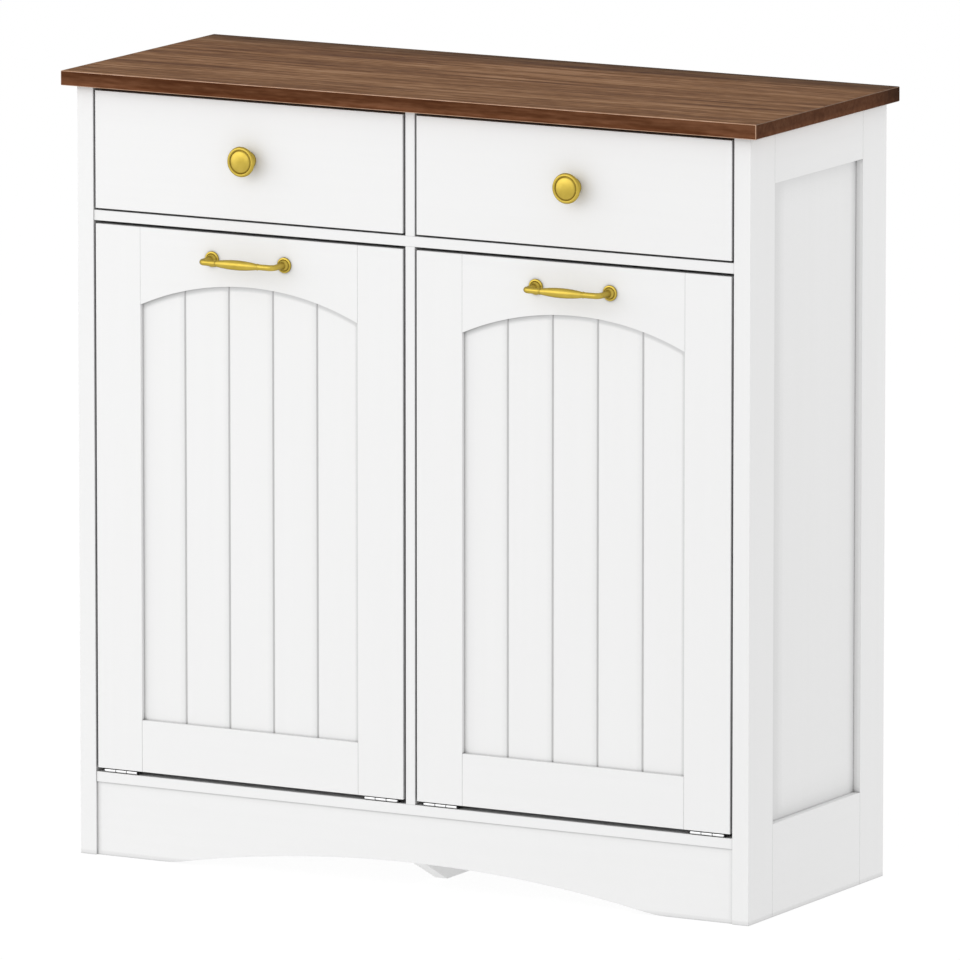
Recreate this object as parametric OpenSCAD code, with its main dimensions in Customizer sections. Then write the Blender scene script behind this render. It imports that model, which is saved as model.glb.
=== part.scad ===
/* [Overall size] */
// Height from the floor to the top of the worktop
overall_h = 914; // [870:1:960]
// Width of the worktop
top_w = 900; // [840:1:960]
// Depth of the worktop
top_d = 350; // [320:1:400]
// Thickness of the worktop
top_t = 17; // [15:1:25]
// Worktop overhang at each side
side_overhang = 13.5; // [8:0.5:25]
// Worktop overhang at the front
front_overhang = 14; // [8:1:20]
// Worktop overhang at the back
back_overhang = 6; // [0:1:12]

/* [Side frames] */
// Thickness of the side stiles and rails
frame_t = 21; // [18:1:25]
// Width of the side stiles
frame_stile_w = 58; // [50:1:75]
// Height of the top rail of each side
frame_top_rail_h = 59; // [45:1:80]
// Height of the bottom rail of each side
frame_bottom_rail_h = 107; // [90:1:130]
// Thickness of the panel set into each side frame
side_panel_t = 12; // [9:1:14]

/* [Boards] */
// Thickness of the shelf, bottom board, dividers, aprons and racks
board_t = 12; // [12:0.5:15]
// Thickness of the back panel
back_t = 3; // [2.5:0.5:4]
// Height of the base under the bottom board
base_h = 86; // [75:1:95]
// How far the apron sits behind the front plane
apron_setback = 3; // [2:0.5:6]
// Thickness of the middle foot
foot_t = 16; // [12:1:20]
// Rise of the apron arch at its middle
arch_rise = 30; // [20:1:40]
// Half of the width of the apron arch at the floor
arch_half = 315; // [250:1:340]
// Radius with which the apron arch runs out into the floor line
arch_end_r = 200; // [100:10:300]

/* [Doors and drawer fronts] */
// Height of the drawer fronts
drawer_front_h = 136; // [125:0.5:150]
// Gap over the drawer fronts
drawer_head_gap = 5; // [3:0.5:8]
// Gap under the drawer fronts
drawer_foot_gap = 2.5; // [2:0.5:5]
// Gap at each side of the doors and drawer fronts
edge_gap = 3; // [2:0.5:4]
// Gap over the doors
door_head_gap = 3.5; // [2:0.5:5]
// Gap under the doors, where the hinge knuckles are
door_foot_gap = 5; // [5:0.5:7]
// Thickness of the door frames and drawer fronts
door_t = 15; // [15:0.5:18]
// Width of the door stiles
door_stile_w = 59; // [50:1:70]
// Height of the door bottom rail
door_bottom_rail_h = 60.5; // [50:0.5:80]
// Height of the door top rail at the crown of its arch
door_top_rail_h = 59.5; // [50:0.5:70]
// Rise of the door arch
door_arch_rise = 30; // [20:1:40]
// Depth of the beadboard panel behind the frame face
panel_recess = 6; // [4:0.5:6]
// Number of planks in the beadboard panel
plank_count = 5; // [4:1:7]
// Width of the grooves between the planks
groove_w = 3; // [2:0.5:4]

/* [Handles and knobs] */
// Distance between the two screws of a handle
handle_centres = 95; // [90:1:112]
// Distance from the door face to the middle of the handle bar
handle_out = 27; // [24:0.5:32]
// Radius of the handle bar near its ends
bar_r = 3.4; // [2.8:0.1:3.8]
// Radius of the handle bar at its middle
spindle_r = 5.7; // [4:0.1:7]
// Distance from the top of the door to the handle
handle_drop = 30; // [20:0.5:35]
// Largest radius of a knob
knob_r = 17.5; // [15:0.5:20]

/* [Drawers] */
// Height of the drawer sides
box_h = 100; // [85:1:108]
// Free space behind a closed drawer
box_back_gap = 21; // [15:1:60]
// Free width beside the drawer for each slide
slide_space = 13; // [12.5:0.5:14]

/* [Tilting bin racks] */
// Free space behind a closed rack
rack_back_gap = 46; // [30:1:70]
// Distance from the door edge to the side of the rack
rack_inset = 20; // [18:1:24]
// Angle at which the rack rail meets the stop blocks
door_tilt = 33; // [30:1:35]

/* [Hidden] */
$fn = 64;
left = -1;
right = 1;
// overshoot of every cutter past the face it opens
cut = 1;

// Colours
white_paint = [0.95, 0.95, 0.94];
walnut = [0.44, 0.31, 0.23];
brass = [0.84, 0.69, 0.20];
steel = [0.75, 0.76, 0.78];
birch = [0.86, 0.78, 0.64];

// Carcass: y is counted from the front plane of the side stiles, which lies at y_front in the row frame
body_w = top_w - 2 * side_overhang;
body_d = top_d - front_overhang - back_overhang;
body_h = overall_h - top_t;
front_reach = handle_out + spindle_r;
y_front = (front_reach - body_d - back_overhang) / 2;
frame_in = body_w / 2 - frame_t;
rabbet = 8;
side_panel_z0 = frame_bottom_rail_h - rabbet;
side_panel_z1 = body_h - frame_top_rail_h + rabbet;
back_inset = back_t + 1;
back_y = body_d - back_inset;
board_setback = 1;
apron_back_y = apron_setback + board_t;
floor_z = base_h + board_t;
shelf_z1 = body_h - drawer_head_gap - drawer_front_h - drawer_foot_gap;
shelf_z0 = shelf_z1 - board_t;
arch_r = (pow(arch_half, 2) + pow(arch_rise, 2)) / (2 * arch_rise);
arch_mid_z = arch_rise - arch_r;
arch_end_x = sqrt(pow(arch_r + arch_end_r, 2) - pow(arch_end_r - arch_mid_z, 2));
arch_turn = asin(arch_end_x / (arch_r + arch_end_r));
arch_steps = 60;
arch_end_steps = 12;
foot_show = 1;
foot_lift = arch_rise - foot_show;
foot_run = 2 * foot_lift;

// Bays, doors and drawer fronts: x is counted from the middle of the bay
bay_w = frame_in - board_t / 2;
bay_x = (frame_in + board_t / 2) / 2;
door_w = bay_w - 2 * edge_gap;
door_z0 = floor_z + door_foot_gap;
door_z1 = shelf_z0 - door_head_gap;
door_in = door_w / 2 - door_stile_w;
panel_t = 6;
crown_z = door_z1 - door_top_rail_h;
spring_z = crown_z - door_arch_rise;
arch_land = 0.5;
door_arch_half = door_in - arch_land;
door_arch_r = (pow(door_arch_half, 2) + pow(door_arch_rise, 2)) / (2 * door_arch_rise);
door_panel_z0 = door_z0 + door_bottom_rail_h - rabbet;
door_panel_z1 = crown_z + rabbet;
plank_tuck = 2;
plank_pitch = 2 * (door_in + plank_tuck) / plank_count;
drawer_z0 = shelf_z1 + drawer_foot_gap;
drawer_z1 = drawer_z0 + drawer_front_h;

// Hinges
hinge_len = 42;
hinge_inset = 9;
hinge_x = door_w / 2 - hinge_inset - hinge_len / 2;
hinge_y = 2.3;
hinge_z = floor_z + door_foot_gap / 2;
knuckle_r = 1.8;
knuckle_space = 0.75;
knuckle_len = (hinge_len - 2 * knuckle_space) / 3;
pin_r = 0.9;
pin_hole_r = pin_r + 0.05;
leaf_t = 1.2;
leaf_y0 = knuckle_r + 0.4;
leaf_d = 11.5;
leaf_screw_x = 12;
leaf_screw_y = 7.5;
screw_r = 1.4;
screw_head_r = 2.6;
seat_gap = 0.1;
pilot_r = screw_r + seat_gap;
screw_len = 9;
head_root = 0.5;
pin_head_r = 1.5;
pin_head_t = 0.8;

// Handles and knobs
handle_z = door_z1 - handle_drop;
elbow_r = 6;
spindle_len = 53;
bar_half = handle_centres / 2 - elbow_r;
rosette_r = 9;
knob_lift = 1.5;
knob_z = (drawer_z0 + drawer_z1) / 2 + knob_lift;
machine_screw_r = 1.95;
tapped_r = 2.05;
clearance_r = 2.3;
tapped_depth = 9;
screw_tip = 8;
pan_head_r = 4;
pan_head_t = 2.2;

// Half profile of the handle bar along its length: the spindle swells between two thin ends
spindle_steps = 20;
spindle_fullness = 0.8;
spindle_outline = [for (i = [0:spindle_steps]) let (x = (i / spindle_steps - 0.5) * spindle_len)
    [bar_r + (spindle_r - bar_r) * pow(abs(cos(180 * x / spindle_len)), spindle_fullness), x]];

// Knob profile as [radius, distance out]: foot flange, waist, broad head with a rim, groove and dome
knob_face_r = knob_r - 4.7;
knob_face_out = 18.1;
dome_rise = 2.4;
dome_steps = 6;
knob_outline = concat(
    [[0, 0], [10.5, 0], [10.5, 1.4], [9.8, 2.2], [7.4, 3], [6, 4.4], [5.8, 6.6], [6.4, 9], [8.6, 11.4],
        [knob_r - 3.5, 13.4], [knob_r - 0.6, 14.8], [knob_r, 16.2], [knob_r - 0.5, 17.8],
        [knob_r - 1.6, 18.9], [knob_r - 2.8, 19.1], [knob_face_r + 1, 18.5], [knob_face_r + 0.4, 17.9]],
    [for (i = [0:dome_steps]) let (a = 90 * i / dome_steps)
        [knob_face_r * cos(a), knob_face_out + dome_rise * sin(a)]]
);

// Cam locks
cam_r = 7.5;
cam_slot = 10;
cam_slot_w = 1.2;
cam_hole_r = cam_r + seat_gap;
cam_t = 9;
cam_inset = 34;
cam_x = frame_in - cam_inset;
cam_end = 70;
cam_y = [cam_end, body_d - cam_end];

// Drawer boxes
box_lift = 8;
bottom_lift = 8;
box_w = bay_w - 2 * slide_space;
box_z0 = shelf_z1 + box_lift;
box_y1 = back_y - box_back_gap;
box_bottom_t = 4;
box_groove = 4;
box_bottom_z = box_z0 + bottom_lift;
side_t = 12;

// Drawer slides
slide_z = box_z0 + box_h / 2;
slide_metal = 1.2;
slide_depth = 9;
channel_half_h = 17.2;
runner_half_h = 15.4;
slide_head = 2;
slide_tail = 4;
slide_y0 = door_t + slide_head;
slide_y1 = box_y1 - slide_tail;

// Racks and their stop blocks
rack_y1 = back_y - rack_back_gap;
rack_lift = 10;
rack_z0 = door_z0 + rack_lift;
rack_out = door_w / 2 - rack_inset;
rail_h = 40;
rail_y0 = rack_y1 - board_t;
rail_clearance = 5;
rail_half = bay_w / 2 - rail_clearance;
door_rest = 0.4;
block_y0 = door_t + door_rest;
block_d = 18;
block_w = 14;
block_h = 30;
stop_slack = 0.5;
rail_arm_y = rail_y0 - hinge_y;
block_arm_y = block_y0 + block_d - hinge_y;
rail_arm_z = (rail_arm_y * cos(door_tilt) - block_arm_y - stop_slack) / sin(door_tilt);
rack_z1 = hinge_z + rail_arm_z;
block_z = hinge_z + rail_arm_y * sin(door_tilt) + rail_arm_z * cos(door_tilt);

// A box from its low corner to its high corner
module block(lo, hi) {
    translate(lo) cube(hi - lo);
}

// Puts a carcass piece in the row frame
module in_carcass() {
    translate([0, y_front, 0]) children();
}

// Puts a piece drawn for the right side on either side of the carcass
module on_side(side) {
    in_carcass() mirror([side < 0 ? 1 : 0, 0, 0]) children();
}

// Puts a piece drawn round the middle of a bay into the left or right bay
module in_bay(side) {
    translate([side * bay_x, y_front, 0]) children();
}

// Draws its children on both sides of a bay or door
module both_sides() {
    children();
    mirror([1, 0, 0]) children();
}

// A cylinder that lies along x, centred on the origin
module rod_x(r, len) {
    rotate([0, 90, 0]) cylinder(r = r, h = len, center = true);
}

// A cylinder that runs back along y from the origin
module rod_y(r, len) {
    rotate([-90, 0, 0]) cylinder(r = r, h = len);
}

// A turned shape whose profile is [radius, distance out of the face]
module turned_out(profile) {
    rotate([90, 0, 0]) rotate_extrude() polygon(profile);
}

// Worktop

module top_board() {
    color(walnut) in_carcass() block([-top_w / 2, -front_overhang, body_h],
        [top_w / 2, body_d + back_overhang, overall_h]);
}

// Side frames, drawn for the right side

// Room for the side panel in the back of the stiles and rails
module side_panel_space(slack) {
    block([frame_in - slack, frame_stile_w - rabbet, side_panel_z0],
        [frame_in + side_panel_t, body_d - frame_stile_w + rabbet, side_panel_z1]);
}

module front_stile(side) {
    color(white_paint) on_side(side) difference() {
        block([frame_in, 0, 0], [body_w / 2, frame_stile_w, body_h]);
        side_panel_space(cut);
    }
}

module rear_stile(side) {
    color(white_paint) on_side(side) difference() {
        block([frame_in, body_d - frame_stile_w, 0], [body_w / 2, body_d, body_h]);
        side_panel_space(cut);
        block([frame_in - cut, back_y, base_h], [frame_in + rabbet, body_d + cut, body_h + cut]);
    }
}

module side_top_rail(side) {
    color(white_paint) on_side(side) difference() {
        block([frame_in, frame_stile_w, body_h - frame_top_rail_h],
            [body_w / 2, body_d - frame_stile_w, body_h]);
        side_panel_space(cut);
    }
}

module side_bottom_rail(side) {
    color(white_paint) on_side(side) difference() {
        block([frame_in, frame_stile_w, 0],
            [body_w / 2, body_d - frame_stile_w, frame_bottom_rail_h]);
        side_panel_space(cut);
    }
}

module side_panel(side) {
    color(white_paint) on_side(side) side_panel_space(0);
}

// Boards of the carcass

module upper_divider() {
    color(white_paint) in_carcass()
        block([-board_t / 2, board_setback, shelf_z1], [board_t / 2, back_y, body_h]);
}

module lower_divider() {
    color(white_paint) in_carcass()
        block([-board_t / 2, board_setback, floor_z], [board_t / 2, back_y, shelf_z0]);
}

// The four cam lock places of a board, at the underside given
module cam_spots(underside) {
    for (x = [-cam_x, cam_x], y = cam_y) translate([x, y, underside]) children();
}

// A full-width board with its cam lock bores, from its underside up
module drilled_board(underside) {
    difference() {
        block([-frame_in, board_setback, underside], [frame_in, back_y, underside + board_t]);
        cam_spots(underside - cut) cylinder(r = cam_hole_r, h = cam_t + cut);
    }
}

module middle_shelf() {
    color(white_paint) in_carcass() drilled_board(shelf_z0);
}

module bottom_board() {
    color(white_paint) difference() {
        in_carcass() drilled_board(base_h);
        for (side = [left, right]) in_bay(side) leaf_screw_spots(floor_z - screw_len)
            cylinder(r = pilot_r, h = screw_len + cut);
    }
}

module front_apron() {
    color(white_paint) in_carcass() difference() {
        block([-frame_in, apron_setback, 0], [frame_in, apron_back_y, base_h]);
        translate([0, apron_back_y + cut, 0]) rotate([90, 0, 0])
            linear_extrude(board_t + 2 * cut) apron_arch();
    }
}

// A point at an angle from straight up on a circle in the plane of the apron
function on_circle(x, z, r, angle) = [x + r * sin(angle), z + r * cos(angle)];

// The arch seen from the front: one flat arc that runs out into the floor line over a smaller one at each end
module apron_arch() {
    polygon(concat(
        [[-arch_end_x, -cut]],
        [for (i = [0:arch_end_steps - 1])
            on_circle(-arch_end_x, arch_end_r, arch_end_r, 180 - arch_turn * i / arch_end_steps)],
        [for (i = [0:arch_steps])
            on_circle(0, arch_mid_z, arch_r, arch_turn * (2 * i / arch_steps - 1))],
        [for (i = [1:arch_end_steps])
            on_circle(arch_end_x, arch_end_r, arch_end_r, 180 + arch_turn * (1 - i / arch_end_steps))],
        [[arch_end_x, -cut]]
    ));
}

module rear_rail() {
    color(white_paint) in_carcass() block([-frame_in, back_y - board_t, 0], [frame_in, back_y, base_h]);
}

// The middle foot runs from the apron to the rear rail, and its bottom slopes up at both ends
module center_foot() {
    foot_y0 = apron_back_y;
    foot_y1 = back_y - board_t;
    color(white_paint) in_carcass() translate([-foot_t / 2, 0, 0]) rotate([90, 0, 90])
        linear_extrude(foot_t) polygon([
            [foot_y0, base_h], [foot_y0, foot_lift], [foot_y0 + foot_run, 0],
            [foot_y1 - foot_run, 0], [foot_y1, foot_lift], [foot_y1, base_h]
        ]);
}

module back_panel() {
    color(birch) in_carcass()
        block([-frame_in - rabbet, back_y, base_h], [frame_in + rabbet, back_y + back_t, body_h]);
}

// Hinges: each has a frame leaf with two outer knuckles and a door leaf with the middle one

// The two hinge axes of a bay
module hinge_spots() {
    both_sides() translate([hinge_x, hinge_y, hinge_z]) children();
}

// The four screw places of the hinge leaves of a bay, at the height given
module leaf_screw_spots(height) {
    for (hinge = [-hinge_x, hinge_x], x = [-leaf_screw_x, leaf_screw_x])
        translate([hinge + x, hinge_y + leaf_screw_y, height]) children();
}

// A leaf plate below the axis, joined to knuckles at the x places given, with its pin bore and screw holes
module hinge_leaf(knuckle_places) {
    half_gap = door_foot_gap / 2;
    difference() {
        union() {
            block([-hinge_len / 2, leaf_y0, -half_gap], [hinge_len / 2, leaf_d, leaf_t - half_gap]);
            for (x = knuckle_places) translate([x, 0, 0]) {
                rod_x(knuckle_r, knuckle_len);
                block([-knuckle_len / 2, 0, -half_gap], [knuckle_len / 2, leaf_y0, leaf_t - half_gap]);
            }
        }
        rod_x(pin_hole_r, hinge_len + 2 * cut);
        for (x = [-leaf_screw_x, leaf_screw_x]) translate([x, leaf_screw_y, -half_gap]) {
            translate([0, 0, -cut]) cylinder(r = pilot_r, h = leaf_t + 2 * cut);
            cylinder(r1 = pilot_r, r2 = screw_head_r + 2 * seat_gap, h = leaf_t + seat_gap);
        }
    }
}

// A countersunk screw that points down from the top of its head
module countersunk_screw() {
    translate([0, 0, -leaf_t]) cylinder(r1 = screw_r, r2 = screw_head_r, h = leaf_t);
    translate([0, 0, head_root - leaf_t - screw_len]) cylinder(r = screw_r, h = screw_len);
}

module frame_hinge_leaves() {
    color(steel) for (side = [left, right]) in_bay(side) hinge_spots()
        hinge_leaf([-knuckle_len - knuckle_space, knuckle_len + knuckle_space]);
}

module door_hinge_leaves(side) {
    color(steel) in_bay(side) hinge_spots() mirror([0, 0, 1]) hinge_leaf([0]);
}

// Each pin has a small head against the outer knuckle
module hinge_pins() {
    color(steel) for (side = [left, right]) in_bay(side) hinge_spots() {
        rod_x(pin_r, hinge_len);
        translate([(hinge_len + pin_head_t) / 2, 0, 0]) rod_x(pin_head_r, pin_head_t);
    }
}

// Cam locks under the shelf and the bottom board, and the screws of the frame leaves
module carcass_fasteners() {
    color(steel) in_carcass() for (underside = [shelf_z0, base_h]) cam_spots(underside) difference() {
        cylinder(r = cam_r, h = cam_t);
        for (turn = [0, 90]) rotate([0, 0, turn])
            block([-cam_slot / 2, -cam_slot_w / 2, -cut], [cam_slot / 2, cam_slot_w / 2, cam_slot_w]);
    }
    color(steel) for (side = [left, right]) in_bay(side)
        leaf_screw_spots(floor_z + leaf_t) countersunk_screw();
}

// Blocks on the bay walls: the closed door rests on them, and the rack rail meets them when it is open
module tilt_stop_blocks() {
    color(birch) for (side = [left, right]) in_bay(side) both_sides()
        block([bay_w / 2 - block_w, block_y0, block_z - block_h / 2],
            [bay_w / 2, block_y0 + block_d, block_z + block_h / 2]);
}

// Doors, drawn round the middle of the bay

// Room for the beadboard panel in the back of the door frame
module door_panel_space() {
    block([-door_in - rabbet, panel_recess, door_panel_z0],
        [door_in + rabbet, door_t + cut, door_panel_z1]);
}

module door_stile(side, edge) {
    color(white_paint) in_bay(side) difference() {
        mirror([edge < 0 ? 1 : 0, 0, 0]) block([door_in, 0, door_z0], [door_w / 2, door_t, door_z1]);
        door_panel_space();
        leaf_screw_spots(door_z0 - cut) cylinder(r = pilot_r, h = screw_len + cut);
    }
}

module door_top_rail(side) {
    color(white_paint) in_bay(side) difference() {
        block([-door_in, 0, spring_z], [door_in, door_t, door_z1]);
        translate([0, -cut, crown_z - door_arch_r]) rotate([-90, 0, 0])
            cylinder(r = door_arch_r, h = door_t + 2 * cut, $fn = 360);
        door_panel_space();
        handle_screw_spots() translate([0, -cut, 0]) rod_y(clearance_r, door_t + 2 * cut);
    }
}

module door_bottom_rail(side) {
    color(white_paint) in_bay(side) difference() {
        block([-door_in, 0, door_z0], [door_in, door_t, door_z0 + door_bottom_rail_h]);
        door_panel_space();
    }
}

// The beadboard panel has a V groove between every two planks
module door_panel(side) {
    groove_side = groove_w / sqrt(2);
    groove_len = door_panel_z1 - door_panel_z0 + 2 * cut;
    mid_z = (door_panel_z0 + door_panel_z1) / 2;
    color(white_paint) in_bay(side) difference() {
        block([-door_in - rabbet, panel_recess, door_panel_z0],
            [door_in + rabbet, panel_recess + panel_t, door_panel_z1]);
        for (i = [1:plank_count - 1])
            translate([(i - plank_count / 2) * plank_pitch, panel_recess, mid_z])
                rotate([0, 0, 45]) cube([groove_side, groove_side, groove_len], center = true);
    }
}

// Handles

module handle_screw_spots() {
    both_sides() translate([handle_centres / 2, 0, handle_z]) children();
}

// One boss with its stepped rosette and the neck that carries the bar
module handle_boss() {
    difference() {
        turned_out([
            [0, 0], [rosette_r, 0], [rosette_r, 1.2], [rosette_r - 0.7, 1.9], [rosette_r - 2, 2.1],
            [rosette_r - 2.5, 1.7], [rosette_r - 2.9, 2.2], [rosette_r - 3.2, 3], [rosette_r - 4, 3.6],
            [bar_r + 1.2, 4.1], [bar_r + 0.7, 5.5], [bar_r + 0.5, 9], [bar_r + 0.2, 13], [bar_r, 16],
            [bar_r, handle_out - elbow_r], [0, handle_out - elbow_r]
        ]);
        translate([0, cut, 0]) rotate([90, 0, 0]) cylinder(r = tapped_r, h = tapped_depth + cut);
    }
    translate([-elbow_r, elbow_r - handle_out, 0]) rotate([0, 0, -90]) rotate_extrude(angle = 90)
        translate([elbow_r, 0]) circle(r = bar_r);
}

module handle(side) {
    color(brass) in_bay(side) {
        handle_screw_spots() handle_boss();
        translate([0, -handle_out, handle_z]) rotate([0, 90, 0]) rotate_extrude() polygon(concat(
            [[0, -bar_half], [bar_r, -bar_half]],
            spindle_outline,
            [[bar_r, bar_half], [0, bar_half]]
        ));
    }
}

// A machine screw through a board of the door thickness, with its pan head behind
module machine_screw() {
    translate([0, -screw_tip, 0]) rod_y(machine_screw_r, screw_tip + door_t);
    translate([0, door_t, 0]) rotate([-90, 0, 0]) rotate_extrude()
        polygon([[0, 0], [pan_head_r, 0], [pan_head_r, pan_head_t / 2], [pan_head_r - 1, pan_head_t - 0.2],
            [0, pan_head_t]]);
}

// The handle screws and the screws of the door hinge leaves
module door_screws(side) {
    color(steel) in_bay(side) {
        handle_screw_spots() machine_screw();
        leaf_screw_spots(door_z0 - leaf_t) mirror([0, 0, 1]) countersunk_screw();
    }
}

// Bin racks

module rack_sides(side) {
    color(white_paint) in_bay(side) both_sides() translate([rack_out - board_t, 0, 0])
        rotate([90, 0, 90]) linear_extrude(board_t) polygon([
            [door_t, rack_z0], [rack_y1, rack_z0], [rack_y1, rack_z1 - rail_h],
            [rail_y0, rack_z1 - rail_h], [rail_y0, rack_z1], [door_t, rack_z1]
        ]);
}

module rack_floor(side) {
    color(white_paint) in_bay(side) block([board_t - rack_out, door_t, rack_z0],
        [rack_out - board_t, rack_y1, rack_z0 + board_t]);
}

module rack_rail(side) {
    color(white_paint) in_bay(side)
        block([-rail_half, rail_y0, rack_z1 - rail_h], [rail_half, rack_y1, rack_z1]);
}

// Drawers

module drawer_front(side) {
    color(white_paint) in_bay(side) difference() {
        block([-door_w / 2, 0, drawer_z0], [door_w / 2, door_t, drawer_z1]);
        translate([0, -cut, knob_z]) rod_y(clearance_r, door_t + 2 * cut);
    }
}

module drawer_sides(side) {
    color(birch) in_bay(side) both_sides() difference() {
        block([box_w / 2 - side_t, door_t, box_z0], [box_w / 2, box_y1, box_z0 + box_h]);
        block([box_w / 2 - side_t - cut, door_t - cut, box_bottom_z],
            [box_w / 2 - side_t + box_groove, box_y1 + cut, box_bottom_z + box_bottom_t]);
    }
}

module drawer_back(side) {
    color(birch) in_bay(side) block([side_t - box_w / 2, box_y1 - side_t, box_bottom_z + box_bottom_t],
        [box_w / 2 - side_t, box_y1, box_z0 + box_h]);
}

module drawer_bottom(side) {
    half_w = box_w / 2 - side_t + box_groove;
    color(birch) in_bay(side)
        block([-half_w, door_t, box_bottom_z], [half_w, box_y1, box_bottom_z + box_bottom_t]);
}

module knob(side) {
    color(brass) in_bay(side) translate([0, 0, knob_z]) difference() {
        turned_out(knob_outline);
        translate([0, cut, 0]) rotate([90, 0, 0]) cylinder(r = tapped_r, h = tapped_depth + cut);
    }
}

module knob_screw(side) {
    color(steel) in_bay(side) translate([0, 0, knob_z]) machine_screw();
}

// Drawer slides: a channel on each bay wall and a runner on each drawer side

// A channel lying along y with its web at x = 0 and its flanges towards minus x
module slide_profile(half_h) {
    translate([0, slide_y0, slide_z]) difference() {
        block([-slide_depth, 0, -half_h], [0, slide_y1 - slide_y0, half_h]);
        block([-slide_depth - cut, -cut, slide_metal - half_h],
            [-slide_metal, slide_y1 - slide_y0 + cut, half_h - slide_metal]);
    }
}

module slide_channels() {
    color(steel) for (side = [left, right]) in_bay(side) both_sides()
        translate([bay_w / 2, 0, 0]) slide_profile(channel_half_h);
}

module slide_runners(side) {
    color(steel) in_bay(side) both_sides()
        translate([box_w / 2, 0, 0]) mirror([1, 0, 0]) slide_profile(runner_half_h);
}

top_board();
front_stile(left);  // left_front_stile
rear_stile(left);  // left_rear_stile
side_top_rail(left);  // left_top_rail
side_bottom_rail(left);  // left_bottom_rail
side_panel(left);  // left_side_panel
front_stile(right);  // right_front_stile
rear_stile(right);  // right_rear_stile
side_top_rail(right);  // right_top_rail
side_bottom_rail(right);  // right_bottom_rail
side_panel(right);  // right_side_panel
upper_divider();
lower_divider();
middle_shelf();
bottom_board();
front_apron();
rear_rail();
center_foot();
back_panel();
frame_hinge_leaves();
hinge_pins();
carcass_fasteners();
tilt_stop_blocks();
slide_channels();
door_stile(left, left);  // left_door_left_stile
door_stile(left, right);  // left_door_right_stile
door_top_rail(left);  // left_door_top_rail
door_bottom_rail(left);  // left_door_bottom_rail
door_panel(left);  // left_door_panel
handle(left);  // left_handle
door_screws(left);  // left_door_screws
door_hinge_leaves(left);  // left_door_hinge_leaves
rack_sides(left);  // left_rack_sides
rack_floor(left);  // left_rack_floor
rack_rail(left);  // left_rack_rail
door_stile(right, left);  // right_door_left_stile
door_stile(right, right);  // right_door_right_stile
door_top_rail(right);  // right_door_top_rail
door_bottom_rail(right);  // right_door_bottom_rail
door_panel(right);  // right_door_panel
handle(right);  // right_handle
door_screws(right);  // right_door_screws
door_hinge_leaves(right);  // right_door_hinge_leaves
rack_sides(right);  // right_rack_sides
rack_floor(right);  // right_rack_floor
rack_rail(right);  // right_rack_rail
drawer_front(left);  // left_drawer_front
drawer_sides(left);  // left_drawer_sides
drawer_back(left);  // left_drawer_back
drawer_bottom(left);  // left_drawer_bottom
knob(left);  // left_knob
knob_screw(left);  // left_knob_screw
slide_runners(left);  // left_slide_runners
drawer_front(right);  // right_drawer_front
drawer_sides(right);  // right_drawer_sides
drawer_back(right);  // right_drawer_back
drawer_bottom(right);  // right_drawer_bottom
knob(right);  // right_knob
knob_screw(right);  // right_knob_screw
slide_runners(right);  // right_slide_runners
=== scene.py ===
import math
import bpy
import bmesh
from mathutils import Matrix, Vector


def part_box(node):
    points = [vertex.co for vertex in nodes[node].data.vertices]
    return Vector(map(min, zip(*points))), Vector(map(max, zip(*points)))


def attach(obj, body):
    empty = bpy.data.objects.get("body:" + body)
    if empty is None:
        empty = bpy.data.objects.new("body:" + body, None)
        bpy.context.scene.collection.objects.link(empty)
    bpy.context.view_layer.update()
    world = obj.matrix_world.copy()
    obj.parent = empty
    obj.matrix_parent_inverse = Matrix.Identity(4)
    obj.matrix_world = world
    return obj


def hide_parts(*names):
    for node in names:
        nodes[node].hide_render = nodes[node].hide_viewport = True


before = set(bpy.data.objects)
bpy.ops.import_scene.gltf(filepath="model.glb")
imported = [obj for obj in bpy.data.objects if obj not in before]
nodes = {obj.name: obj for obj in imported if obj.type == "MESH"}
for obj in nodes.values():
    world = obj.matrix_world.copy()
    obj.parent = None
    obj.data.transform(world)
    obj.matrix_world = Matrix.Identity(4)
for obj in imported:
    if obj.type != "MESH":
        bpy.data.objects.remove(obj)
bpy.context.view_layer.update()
scene = bpy.context.scene

MM = 0.001
X, Y, Z = 0, 1, 2
WHITE = (1.0, 1.0, 1.0, 1.0)


# Camera: fitted to the photograph, level sideways, tilted down, with no shift

CAMERA_PLACE = (7.512192, -13.553536, 3.104266)
CAMERA_LENS = 514.845
CAMERA_TILT_DOWN = 9.716471
CAMERA_TURN = 28.974705

cam_data = bpy.data.cameras.new("camera")
cam_data.sensor_width = 36.0
cam_data.lens = CAMERA_LENS
cam_data.clip_end = 200.0
camera = bpy.data.objects.new("camera", cam_data)
camera.location = CAMERA_PLACE
camera.rotation_euler = (math.radians(90.0 - CAMERA_TILT_DOWN), 0.0, math.radians(CAMERA_TURN))
scene.collection.objects.link(camera)
scene.camera = camera


# Node helpers

def new_material(name):
    """A material with a bare Principled shader: the material, its node tree and the shader."""
    material = bpy.data.materials.new(name)
    material.use_nodes = True
    tree = material.node_tree
    tree.nodes.clear()
    out = tree.nodes.new("ShaderNodeOutputMaterial")
    shader = tree.nodes.new("ShaderNodeBsdfPrincipled")
    tree.links.new(shader.outputs[0], out.inputs[0])
    return material, tree, shader


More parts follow.
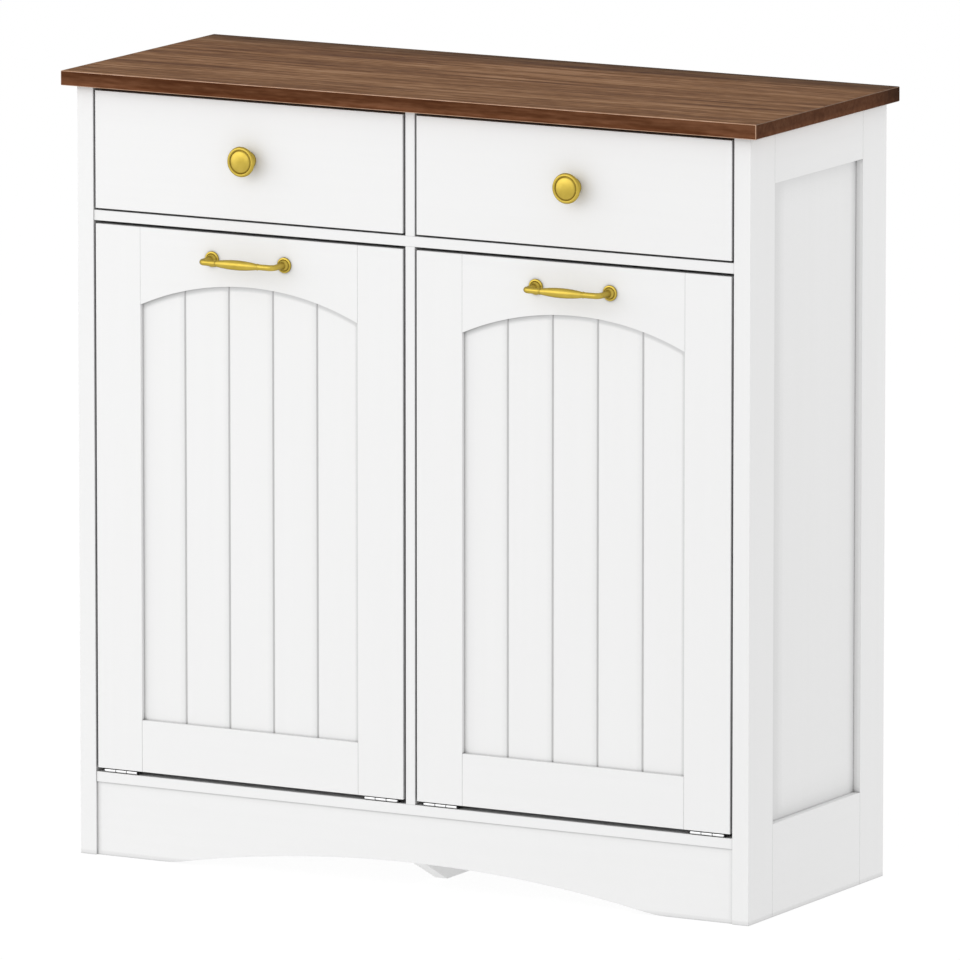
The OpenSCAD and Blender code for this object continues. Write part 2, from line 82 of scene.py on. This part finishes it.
def noise(tree, scale, detail, shift=(0.0, 0.0, 0.0), distortion=0.0):
    """Noise over the object's coordinates in metres, with a scale and a shift for each axis."""
    coords = tree.nodes.new("ShaderNodeTexCoord")
    mapping = tree.nodes.new("ShaderNodeMapping")
    mapping.inputs["Scale"].default_value = scale
    mapping.inputs["Location"].default_value = shift
    tree.links.new(coords.outputs["Object"], mapping.inputs["Vector"])
    node = tree.nodes.new("ShaderNodeTexNoise")
    node.inputs["Scale"].default_value = 1.0
    node.inputs["Detail"].default_value = detail
    node.inputs["Roughness"].default_value = 0.55
    node.inputs["Distortion"].default_value = distortion
    tree.links.new(mapping.outputs["Vector"], node.inputs["Vector"])
    return node.outputs["Fac"]


def along(axis, fine, coarse):
    """A noise scale that is coarse along the grain axis and fine across it."""
    return tuple(coarse if i == axis else fine for i in range(3))


def ramp(tree, value, stops):
    """A colour for each value, between stops of (value, colour)."""
    node = tree.nodes.new("ShaderNodeValToRGB")
    bar = node.color_ramp
    for element, (place, colour) in zip(bar.elements, (stops[0], stops[-1])):
        element.position = place
        element.color = (*colour, 1.0)
    for place, colour in stops[1:-1]:
        bar.elements.new(place).color = (*colour, 1.0)
    tree.links.new(value, node.inputs["Fac"])
    return node.outputs["Color"]


def math_node(tree, operation, *values):
    """A Math node on two or three values, each a number or another node's output."""
    node = tree.nodes.new("ShaderNodeMath")
    node.operation = operation
    for socket, value in zip(node.inputs, values):
        if isinstance(value, float):
            socket.default_value = value
        else:
            tree.links.new(value, socket)
    return node.outputs[0]


def times(tree, a, b):
    return math_node(tree, "MULTIPLY", a, b)


def times_plus(tree, a, factor, b):
    return math_node(tree, "MULTIPLY_ADD", a, factor, b)


def mix_colour(tree, fac, a, b):
    """Colour a where fac is 0, and colour b where it is 1, on the Mix node's sockets for colours."""
    node = tree.nodes.new("ShaderNodeMix")
    node.data_type = "RGBA"
    tree.links.new(fac, node.inputs[0])
    tree.links.new(a, node.inputs[6])
    tree.links.new(b, node.inputs[7])
    return node.outputs[2]


def scaled(tree, colour, factor):
    node = tree.nodes.new("ShaderNodeVectorMath")
    node.operation = "SCALE"
    tree.links.new(colour, node.inputs[0])
    tree.links.new(factor, node.inputs["Scale"])
    return node.outputs[0]


def map_range(tree, value, low, high, to_low, to_high):
    node = tree.nodes.new("ShaderNodeMapRange")
    node.inputs["From Min"].default_value = low
    node.inputs["From Max"].default_value = high
    node.inputs["To Min"].default_value = to_low
    node.inputs["To Max"].default_value = to_high
    tree.links.new(value, node.inputs["Value"])
    return node.outputs["Result"]


def varied(tree, value, low, high):
    """A number from low to high over the usual range of a noise."""
    return map_range(tree, value, 0.3, 0.7, low, high)


def bump(tree, shader, height, strength, distance):
    node = tree.nodes.new("ShaderNodeBump")
    node.inputs["Strength"].default_value = strength
    node.inputs["Distance"].default_value = distance
    tree.links.new(height, node.inputs["Height"])
    tree.links.new(node.outputs["Normal"], shader.inputs["Normal"])


def own_axes(tree, kind):
    """The x, y and z outputs of the object's own coordinates, or of its normal."""
    coords = tree.nodes.new("ShaderNodeTexCoord")
    split = tree.nodes.new("ShaderNodeSeparateXYZ")
    tree.links.new(coords.outputs[kind], split.inputs[0])
    return split.outputs


def hollow_shade(tree, reach, depth, closed=0.0, opened=1.0, lean=None):
    """A factor for the shade in hollows, from the share of the surroundings within reach that is free.

    It is 1 from the share opened up, falls evenly below it, and is 1 - depth from the share closed down.
    With a lean, the surroundings are weighed round the face's normal plus that direction.
    """
    node = tree.nodes.new("ShaderNodeAmbientOcclusion")
    node.samples = 8
    node.inputs["Distance"].default_value = reach
    if lean:
        geometry = tree.nodes.new("ShaderNodeNewGeometry")
        tilted = tree.nodes.new("ShaderNodeVectorMath")
        tilted.operation = "ADD"
        tilted.inputs[1].default_value = lean
        tree.links.new(geometry.outputs["True Normal"], tilted.inputs[0])
        unit = tree.nodes.new("ShaderNodeVectorMath")
        unit.operation = "NORMALIZE"
        tree.links.new(tilted.outputs[0], unit.inputs[0])
        tree.links.new(unit.outputs[0], node.inputs["Normal"])
    return map_range(tree, node.outputs["AO"], closed, opened, 1.0 - depth, 1.0)


# Materials

# Painted shade beside edges, multiplied into the white paint: on most boards, on drawer fronts, on door
# panels and on side panels
PLAIN_EDGE_SHADE = {"reach": 0.0065, "depth": 0.10, "closed": 0.87}
DRAWER_EDGE_SHADE = {"reach": 0.0065, "depth": 0.04, "closed": 0.87}
# On door panels the painted shade leans to the right and the top: a painted shadow along those edges
DOOR_PANEL_EDGE_SHADE = {"reach": 0.0075, "depth": 0.22, "closed": 0.74, "opened": 0.92, "lean": (1.0, 0.0, 0.9)}
# On side panels it leans to the front: a painted shadow of the front stile
SIDE_PANEL_EDGE_SHADE = {"reach": 0.040, "depth": 0.145, "closed": 0.60, "opened": 0.84, "lean": (0.0, -2.0, 0.0)}


def white_paint(name, axis, painted_light_lift=1.0, corner_shade_depth=0.22, edges=PLAIN_EDGE_SHADE):
    """Satin white lacquer over board embossed with a faint grain along one axis.

    Unless edges is None, painted shade darkens its colour in three reaches: close in the corners, beside the
    edges, and deep in the gaps.
    """
    material, tree, shader = new_material(name)
    fibre = noise(tree, along(axis, 420.0, 9.0), detail=3.0)
    streak = noise(tree, along(axis, 95.0, 3.0), detail=4.0, shift=(3.0, 1.0, 7.0), distortion=0.4)
    cloud = noise(tree, (2.2, 2.2, 2.2), detail=2.0, shift=(1.3, 0.2, 5.0))
    height = times_plus(tree, streak, 0.8, fibre)
    tone = times_plus(tree, cloud, 0.5, streak)
    # A factor above 1 here is painted light: it makes this white paler, as if lit more
    colour = ramp(tree, times(tree, tone, 0.66), [
        (0.34, tuple(painted_light_lift * level for level in (0.881, 0.881, 0.879))),
        (0.50, tuple(painted_light_lift * level for level in (0.885, 0.885, 0.884))),
        (0.66, tuple(painted_light_lift * level for level in (0.889, 0.889, 0.888))),
    ])
    # Painted shade: the colour is darkened in corners, beside edges and in gaps
    if edges:
        near = hollow_shade(tree, reach=0.0025, depth=corner_shade_depth, closed=0.64)
        wide = hollow_shade(tree, **edges)
        deep = hollow_shade(tree, reach=0.012, depth=0.60, closed=0.10, opened=0.45)
        colour = scaled(tree, colour, times(tree, times(tree, near, wide), deep))
    tree.links.new(colour, shader.inputs["Base Color"])
    tree.links.new(varied(tree, fibre, 0.50, 0.60), shader.inputs["Roughness"])
    shader.inputs["Specular IOR Level"].default_value = 0.25
    bump(tree, shader, height, strength=0.04, distance=0.0003)
    return material


def walnut(name, foot, back):
    """Walnut-look laminate with its grain along x: a paler face, and redder bands on the edges.

    The bands are lighter over the first few mm above their lower edge at z = foot, a painted light, and a
    painted shade darkens the board over the last 70 mm before its rear edge at y = back.
    """
    material, tree, shader = new_material(name)
    band = noise(tree, (0.8, 22.0, 22.0), detail=2.0, shift=(0.4, 2.0, 0.0), distortion=0.3)
    line = noise(tree, (2.6, 62.0, 62.0), detail=3.0, shift=(5.0, 0.0, 1.0), distortion=0.35)
    streak = noise(tree, (9.0, 135.0, 135.0), detail=3.0, shift=(1.0, 6.0, 3.0), distortion=0.3)
    fleck = noise(tree, (52.0, 300.0, 300.0), detail=3.0, shift=(2.0, 1.0, 8.0))
    fibre = noise(tree, (14.0, 700.0, 700.0), detail=2.0)
    value = times_plus(tree, line, 0.30, times(tree, band, 0.14))
    value = times_plus(tree, streak, 0.36, value)
    value = times_plus(tree, fleck, 0.20, value)
    face = ramp(tree, value, [
        (0.40, (0.096, 0.039, 0.016)),
        (0.44, (0.143, 0.063, 0.028)),
        (0.50, (0.217, 0.106, 0.049)),
        (0.55, (0.292, 0.154, 0.077)),
        (0.60, (0.370, 0.209, 0.116)),
    ])
    front_band = ramp(tree, value, [
        (0.40, (0.068, 0.020, 0.007)),
        (0.50, (0.112, 0.041, 0.017)),
        (0.60, (0.178, 0.074, 0.036)),
    ])
    end_band = ramp(tree, value, [
        (0.40, (0.078, 0.029, 0.013)),
        (0.50, (0.101, 0.040, 0.019)),
        (0.60, (0.126, 0.055, 0.028)),
    ])
    place = own_axes(tree, "Object")
    normal = own_axes(tree, "Normal")
    is_level = math_node(tree, "GREATER_THAN", math_node(tree, "ABSOLUTE", normal["Z"]), 0.7)
    is_end = math_node(tree, "GREATER_THAN", math_node(tree, "ABSOLUTE", normal["X"]), 0.7)
    # Painted light: the bands are paler over their lowest few mm
    lower = map_range(tree, place["Z"], foot + 3.0 * MM, foot + 7.0 * MM, 1.20, 0.93)
    bands = scaled(tree, mix_colour(tree, is_end, front_band, end_band), lower)
    colour = mix_colour(tree, is_level, bands, face)
    # Painted shade: the board darkens towards its rear edge
    rear = map_range(tree, place["Y"], back - 70.0 * MM, back, 1.0, 0.36)
    colour = scaled(tree, colour, times(tree, varied(tree, fibre, 0.93, 1.06), rear))
    tree.links.new(colour, shader.inputs["Base Color"])
    tree.links.new(varied(tree, line, 0.62, 0.72), shader.inputs["Roughness"])
    shader.inputs["Specular IOR Level"].default_value = 0.02
    bump(tree, shader, math_node(tree, "ADD", line, fibre), strength=0.12, distance=0.0003)
    return material


def band_edge(name):
    """The pale line where the edge bands meet the faces, with a painted shade that makes it weaker along the
    ends and the back.
    """
    material, tree, shader = new_material(name)
    grain = noise(tree, (60.0, 60.0, 60.0), detail=4.0)
    colour = ramp(tree, grain, [
        (0.35, (0.50, 0.29, 0.18)),
        (0.65, (0.68, 0.44, 0.31)),
    ])
    # Painted shade: the line is darker where it does not face the front
    front = map_range(tree, own_axes(tree, "Normal")["Y"], -0.6, -0.1, 1.0, 0.35)
    tree.links.new(scaled(tree, colour, front), shader.inputs["Base Color"])
    shader.inputs["Roughness"].default_value = 0.6
    shader.inputs["Specular IOR Level"].default_value = 0.15
    bump(tree, shader, grain, strength=0.1, distance=0.0002)
    return material


def satin_brass(name):
    """Lacquered satin brass with painted shade in its hollows, that reflects less at grazing angles."""
    material, tree, shader = new_material(name)
    grain = noise(tree, (900.0, 900.0, 900.0), detail=3.0)
    cloud = noise(tree, (70.0, 70.0, 70.0), detail=2.0, shift=(2.0, 0.0, 0.0))
    colour = ramp(tree, cloud, [
        (0.30, (0.475, 0.345, 0.047)),
        (0.70, (0.568, 0.418, 0.068)),
    ])
    # Painted shade: the brass is darkened in its hollows
    colour = scaled(tree, colour, hollow_shade(tree, reach=0.006, depth=0.80))
    tree.links.new(colour, shader.inputs["Base Color"])
    tree.links.new(varied(tree, cloud, 0.30, 0.36), shader.inputs["Roughness"])
    shader.inputs["Metallic"].default_value = 1.0
    shader.inputs["Specular Tint"].default_value = (0.35, 0.35, 0.35, 1.0)
    shader.inputs["Coat Weight"].default_value = 0.25
    shader.inputs["Coat Roughness"].default_value = 0.25
    bump(tree, shader, grain, strength=0.04, distance=0.0001)
    return material


def brushed_metal(name, pale, dark, axis, rough, hollow=0.0):
    """Plated metal with faint brush lines along one axis, and a painted shade of the depth hollow in its
    hollows.
    """
    material, tree, shader = new_material(name)
    lines = noise(tree, along(axis, 1500.0, 30.0), detail=3.0)
    cloud = noise(tree, (40.0, 40.0, 40.0), detail=2.0)
    colour = ramp(tree, times_plus(tree, lines, 0.5, times(tree, cloud, 0.5)), [
        (0.35, dark),
        (0.65, pale),
    ])
    if hollow > 0.0:
        # Painted shade: the metal is darkened in its hollows
        colour = scaled(tree, colour, hollow_shade(tree, reach=0.004, depth=hollow))
    tree.links.new(colour, shader.inputs["Base Color"])
    tree.links.new(varied(tree, lines, rough - 0.05, rough + 0.08), shader.inputs["Roughness"])
    shader.inputs["Metallic"].default_value = 1.0
    bump(tree, shader, lines, strength=0.08, distance=0.0001)
    return material


def birch(name, axis):
    """Clear-lacquered pale wood with its grain along one axis."""
    material, tree, shader = new_material(name)
    band = noise(tree, along(axis, 34.0, 1.6), detail=3.0, distortion=0.6)
    line = noise(tree, along(axis, 260.0, 6.0), detail=4.0)
    colour = ramp(tree, times_plus(tree, line, 0.4, times(tree, band, 0.6)), [
        (0.36, (0.50, 0.35, 0.21)),
        (0.50, (0.62, 0.46, 0.30)),
        (0.64, (0.71, 0.56, 0.39)),
    ])
    tree.links.new(colour, shader.inputs["Base Color"])
    tree.links.new(varied(tree, line, 0.45, 0.58), shader.inputs["Roughness"])
    bump(tree, shader, line, strength=0.15, distance=0.0003)
    return material


def hardboard(name):
    """White-faced hardboard with a fine uneven surface."""
    material, tree, shader = new_material(name)
    pores = noise(tree, (520.0, 520.0, 520.0), detail=2.0)
    cloud = noise(tree, (3.0, 3.0, 3.0), detail=3.0)
    colour = ramp(tree, cloud, [
        (0.30, (0.805, 0.798, 0.782)),
        (0.70, (0.825, 0.818, 0.802)),
    ])
    tree.links.new(colour, shader.inputs["Base Color"])
    shader.inputs["Roughness"].default_value = 0.6
    bump(tree, shader, pores, strength=0.2, distance=0.0003)
    return material


paint = [white_paint("white_paint_" + letter, axis) for axis, letter in enumerate("xyz")]
# The foot's copy has no painted shade and is painted 7 % paler: a painted light
foot_paint = white_paint("white_paint_foot", Z, painted_light_lift=1.07, edges=None)
# Copies of the white paint for drawer fronts, door panels and side panels that differ in their painted shade
drawer_paint = white_paint("white_paint_drawer_front", X, corner_shade_depth=0.08, edges=DRAWER_EDGE_SHADE)
door_panel_paint = white_paint("white_paint_door_panel", Z, corner_shade_depth=0.10, edges=DOOR_PANEL_EDGE_SHADE)
side_panel_paint = white_paint("white_paint_side_panel", Z, corner_shade_depth=0.10, edges=SIDE_PANEL_EDGE_SHADE)
wood = [birch("birch_" + letter, axis) for axis, letter in enumerate("xyz")]
top_lo, top_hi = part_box("top_board")
top_wood = walnut("walnut_laminate", top_lo.z, top_hi.y)
top_line = band_edge("band_edge")
brass = satin_brass("satin_brass")
nickel = brushed_metal("bright_nickel", (0.93, 0.93, 0.93), (0.84, 0.84, 0.85), X, rough=0.30, hollow=0.92)
zinc = brushed_metal("zinc_plate", (0.72, 0.73, 0.75), (0.58, 0.59, 0.61), Y, rough=0.38)
screw_zinc = brushed_metal("screw_zinc", (0.74, 0.74, 0.76), (0.60, 0.60, 0.62), X, rough=0.34)
white_board = hardboard("white_hardboard")


# The solids: a material for each, and softened edges on most boards and on the hinge leaves

def longest_axis(name):
    lo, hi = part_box(name)
    size = hi - lo
    return max(range(3), key=lambda i: size[i])


def dress(name, *materials):
    slots = nodes[name].data.materials
    slots.clear()
    for material in materials:
        slots.append(material)


def soften(name, width, segments=2, material=-1):
    """Joins the split corners and flat faces of a solid, and rounds its edges to a width in mm.

    The rounded edges take the material at that index, or for -1 that of the faces beside them.
    """
    piece = nodes[name]
    weld = piece.modifiers.new("weld", "WELD")
    weld.merge_threshold = 0.01 * MM
    flat = piece.modifiers.new("flat", "DECIMATE")
    flat.decimate_type = "DISSOLVE"
    flat.angle_limit = math.radians(0.1)
    edges = piece.modifiers.new("edges", "BEVEL")
    edges.width = width * MM
    edges.segments = segments
    edges.limit_method = "ANGLE"
    edges.angle_limit = math.radians(35.0)
    edges.use_clamp_overlap = False
    edges.material = material


for name in nodes:
    if name == "top_board":
        dress(name, top_wood, top_line)
        soften(name, width=0.7, segments=1, material=1)
    elif name == "back_panel":
        dress(name, white_board)
    elif "hinge" in name:
        dress(name, nickel)
        if "leaves" in name:
            soften(name, width=0.35)
    elif name == "center_foot":
        dress(name, foot_paint)
        soften(name, width=0.3)
    elif "slide" in name:
        dress(name, zinc)
    elif "screw" in name or name == "carcass_fasteners":
        dress(name, screw_zinc)
    elif name.endswith("knob") or name.endswith("handle"):
        dress(name, brass)
    elif "drawer_sides" in name:
        dress(name, wood[Y])
    elif "drawer_b" in name or name == "tilt_stop_blocks":
        dress(name, wood[X])
    elif name.endswith("drawer_front"):
        dress(name, drawer_paint)
        soften(name, width=0.25)
    elif name.endswith("door_panel"):
        dress(name, door_panel_paint)
    elif name.endswith("side_panel"):
        dress(name, side_panel_paint)
    else:
        upright = name.endswith("divider") or "rack_sides" in name
        dress(name, paint[Z if upright else longest_axis(name)])
        if name.endswith("door_top_rail"):
            soften(name, width=0.2)
        else:
            soften(name, width=0.5 if "_door_" in name else 0.4)


# Knobs and handles: smooth turned brass in place of the plain solids

def brass_piece(name, verts, faces, body, node):
    """Makes a brass piece that rides on a body and stands for a node."""
    mesh = bpy.data.meshes.new(name)
    mesh.from_pydata(verts, [], faces)
    work = bmesh.new()
    work.from_mesh(mesh)
    bmesh.ops.recalc_face_normals(work, faces=work.faces)
    work.to_mesh(mesh)
    work.free()
    mesh.polygons.foreach_set("use_smooth", [True] * len(mesh.polygons))
    mesh.set_sharp_from_angle(angle=math.radians(32.0))
    mesh.materials.append(brass)
    piece = bpy.data.objects.new(name, mesh)
    scene.collection.objects.link(piece)
    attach(piece, body)
    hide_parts(node)


def skin(rings):
    """Vertices and faces of a tube through rings of equal count, capped at both ends."""
    count = len(rings[0])
    verts = [point for ring in rings for point in ring]
    faces = []
    for i in range(len(rings) - 1):
        for j in range(count):
            k = (j + 1) % count
            faces.append((i * count + j, i * count + k, (i + 1) * count + k, (i + 1) * count + j))
    faces.append(tuple(range(count)))
    faces.append(tuple(range((len(rings) - 1) * count, len(rings) * count)))
    return verts, faces


def lathe_rings(profile, centre, count):
    """Rings round an axis that points out of the front, for a profile of (radius, distance out) in mm."""
    x, y, z = centre
    rings = []
    for radius, out in profile:
        rings.append([(x + radius * MM * math.cos(math.tau * j / count), y - out * MM,
                       z + radius * MM * math.sin(math.tau * j / count)) for j in range(count)])
    return rings


def eased(points, steps=4):
    """A profile with extra points on a smooth Catmull-Rom curve through the given ones."""
    ends = [points[0]] + points + [points[-1]]
    curve = []
    for i in range(1, len(ends) - 2):
        a, b, c, d = (Vector(ends[i + k]) for k in (-1, 0, 1, 2))
        for k in range(steps):
            t = k / steps
            square = (2 * a - 5 * b + 4 * c - d) * t ** 2
            cube = (3 * b - a - 3 * c + d) * t ** 3
            curve.append(tuple(0.5 * (2 * b + (c - a) * t + square + cube)))
    curve.append(tuple(points[-1]))
    return curve


def knob_piece(side):
    """A turned knob: a flat foot, a waist, a rolled rim, and a low domed cap inside a groove."""
    lo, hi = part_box(side + "_knob")
    centre = ((lo.x + hi.x) / 2, hi.y, (lo.z + hi.z) / 2)
    r = (hi.x - lo.x) / 2 / MM
    reach = (hi.y - lo.y) / MM
    cap_r = r - 4.7
    dome = 2.4
    foot = [(10.5, 0.0), (10.5, 1.4)]
    waist = [(9.8, 2.2), (7.4, 3.0), (6.0, 4.4), (5.8, 6.6), (6.4, 9.0), (8.6, 11.4)]
    rim = [(r - 3.5, 13.4), (r - 0.6, 14.8), (r, 16.2), (r - 0.5, 17.8), (r - 1.6, 18.9), (r - 2.8, 19.1)]
    groove = [(cap_r + 1.0, 18.5), (cap_r + 0.4, 17.9)]
    cap = []
    for degrees in (0, 8, 18, 30, 42, 54, 65, 75, 83, 88):
        a = math.radians(degrees)
        cap.append((cap_r * math.cos(a), reach - dome + dome * math.sin(a)))
    profile = foot + eased(waist + rim + groove) + cap
    verts, faces = skin(lathe_rings(profile, centre, count=96))
    brass_piece(side + "_turned_knob", verts, faces, side + "_drawer", side + "_knob")


BAR_R = 3.4
SPINDLE_R = 5.7
ROSETTE_R = 9.0


def handle_stations(half, out):
    """The handle's bar from end to end, in mm, as (x, distance out, angle of the path, radius).

    half is the distance from the middle to a post, and out that from the door to the bar. Each end has a
    post that flares at its foot, an elbow and a collar, and the spindle swells between the collars.
    """
    post_foot, flare, elbow_r, elbow_steps = 3.4, 0.9, 6.0, 8
    spindle_len, spindle_steps = 53.0, 24
    post_len = out - elbow_r - post_foot
    stations = []
    for t in (0.0, 0.1, 0.25, 0.45, 0.7, 1.0):
        stations.append((half, post_foot + t * post_len, 0.0, BAR_R + flare * (1.0 - t) ** 2))
    for k in range(1, elbow_steps + 1):
        a = math.pi / 2 * k / elbow_steps
        x = half - elbow_r + elbow_r * math.cos(a)
        stations.append((x, out - elbow_r + elbow_r * math.sin(a), a, BAR_R))
    for past, extra in ((3.0, 0.0), (1.9, 0.05), (1.5, 0.45), (0.8, 0.45), (0.4, -0.1), (0.0, -0.1)):
        stations.append((spindle_len / 2 + past, out, math.pi / 2, BAR_R + extra))
    for k in range(1, spindle_steps + 1):
        x = spindle_len / 2 * (1.0 - k / spindle_steps)
        swell = abs(math.cos(math.pi * x / spindle_len)) ** 0.8
        stations.append((x, out, math.pi / 2, BAR_R + (SPINDLE_R - BAR_R) * swell))
    stations += [(-x, o, math.pi - a, r) for x, o, a, r in reversed(stations[:-1])]
    return stations


def handle_piece(side):
    """A bow handle on two rosettes."""
    lo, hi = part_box(side + "_handle")
    mid_x, mid_z, face_y = (lo.x + hi.x) / 2, (lo.z + hi.z) / 2, hi.y
    half = (hi.x - lo.x) / 2 / MM - ROSETTE_R
    out = (hi.y - lo.y) / MM - SPINDLE_R
    count = 40
    rings = []
    for x, o, a, r in handle_stations(half, out):
        ring = []
        for j in range(count):
            turn = math.tau * j / count
            side_step = r * math.cos(turn)
            ring.append((mid_x + (x + side_step * math.cos(a)) * MM,
                         face_y - (o + side_step * math.sin(a)) * MM,
                         mid_z + r * math.sin(turn) * MM))
        rings.append(ring)
    verts, faces = skin(rings)
    inset_and_out = ((0.0, 0.0), (0.0, 1.2), (0.25, 1.6), (0.7, 1.9), (2.0, 2.1), (2.5, 1.7), (2.9, 2.2),
                     (3.2, 3.0), (4.0, 3.6))
    neck = [(BAR_R + 1.2, 4.1), (BAR_R + 0.7, 5.5), (BAR_R + 0.3, 7.0)]
    rosette = [(ROSETTE_R - inset, rise) for inset, rise in inset_and_out] + neck
    for end in (-half, half):
        more, sides = skin(lathe_rings(rosette, (mid_x + end * MM, face_y, mid_z), count=72))
        faces += [tuple(index + len(verts) for index in face) for face in sides]
        verts += more
    brass_piece(side + "_turned_handle", verts, faces, side + "_door", side + "_handle")


for side in ("left", "right"):
    knob_piece(side)
    handle_piece(side)


# Lights: a pale world, soft lamps in front and on the left, and a weak one behind on the right

LAMP_AIM = Vector((0.0, 0.0, 0.45))
AMBIENT = 0.705


def by_ray(tree, out, lighting, shown):
    """Gives rays that light things one shader, and camera, glossy and transmission rays another."""
    rays = tree.nodes.new("ShaderNodeLightPath").outputs
    seen = math_node(tree, "MAXIMUM", rays["Is Camera Ray"], rays["Is Glossy Ray"])
    seen = math_node(tree, "MAXIMUM", seen, rays["Is Transmission Ray"])
    mix = tree.nodes.new("ShaderNodeMixShader")
    tree.links.new(seen, mix.inputs[0])
    tree.links.new(lighting.outputs[0], mix.inputs[1])
    tree.links.new(shown.outputs[0], mix.inputs[2])
    tree.links.new(mix.outputs[0], out.inputs[0])


def background(tree, strength):
    node = tree.nodes.new("ShaderNodeBackground")
    node.inputs["Color"].default_value = WHITE
    node.inputs["Strength"].default_value = strength
    return node


def area_light(name, place, width, height, power):
    data = bpy.data.lights.new(name, "AREA")
    data.shape = "ELLIPSE"
    data.size = width
    data.size_y = height
    data.energy = power
    lamp = bpy.data.objects.new(name, data)
    scene.collection.objects.link(lamp)
    lamp.location = place
    lamp.rotation_euler = (LAMP_AIM - Vector(place)).to_track_quat("-Z", "Y").to_euler()
    lamp.visible_camera = False


world = bpy.data.worlds.new("studio")
scene.world = world
world.use_nodes = True
world_tree = world.node_tree
world_tree.nodes.clear()
world_out = world_tree.nodes.new("ShaderNodeOutputWorld")
by_ray(world_tree, world_out, lighting=background(world_tree, AMBIENT), shown=background(world_tree, 1.0))

area_light("front", (-0.8, -5.9, 3.3), width=6.6, height=6.4, power=77.5)
area_light("left", (-3.5, -3.0, 2.0), width=5.0, height=4.0, power=49.0)
area_light("right", (2.0, 1.7, 0.7), width=1.4, height=1.4, power=9.0)


# Floor: white where the camera looks, with the soft shadow of the cabinet

FLOOR_RADIUS = 40.0
FLOOR_SIDES = 96
FLOOR_Z = -0.5 * MM


def floor_part(tree, reflected, shining):
    """A surface that reflects part of its light and shines by itself for the rest, like a light table."""
    matt = tree.nodes.new("ShaderNodeBsdfDiffuse")
    matt.inputs["Color"].default_value = (reflected, reflected, reflected, 1.0)
    glow = tree.nodes.new("ShaderNodeEmission")
    glow.inputs["Color"].default_value = WHITE
    glow.inputs["Strength"].default_value = shining
    both = tree.nodes.new("ShaderNodeAddShader")
    tree.links.new(matt.outputs[0], both.inputs[0])
    tree.links.new(glow.outputs[0], both.inputs[1])
    return both


floor_rim = []
for i in range(FLOOR_SIDES):
    turn = math.tau * i / FLOOR_SIDES
    floor_rim.append((FLOOR_RADIUS * math.cos(turn), FLOOR_RADIUS * math.sin(turn), FLOOR_Z))
floor_mesh = bpy.data.meshes.new("floor")
floor_mesh.from_pydata(floor_rim, [], [list(range(FLOOR_SIDES))])
floor = bpy.data.objects.new("floor", floor_mesh)
scene.collection.objects.link(floor)
floor_material = bpy.data.materials.new("floor")
floor_material.use_nodes = True
floor_tree = floor_material.node_tree
floor_tree.nodes.clear()
floor_out = floor_tree.nodes.new("ShaderNodeOutputMaterial")
plain = floor_part(floor_tree, reflected=0.25, shining=0.60)
shown = floor_part(floor_tree, reflected=0.11, shining=0.92)
by_ray(floor_tree, floor_out, lighting=plain, shown=shown)
floor_mesh.materials.append(floor_material)


scene.view_settings.view_transform = "Standard"
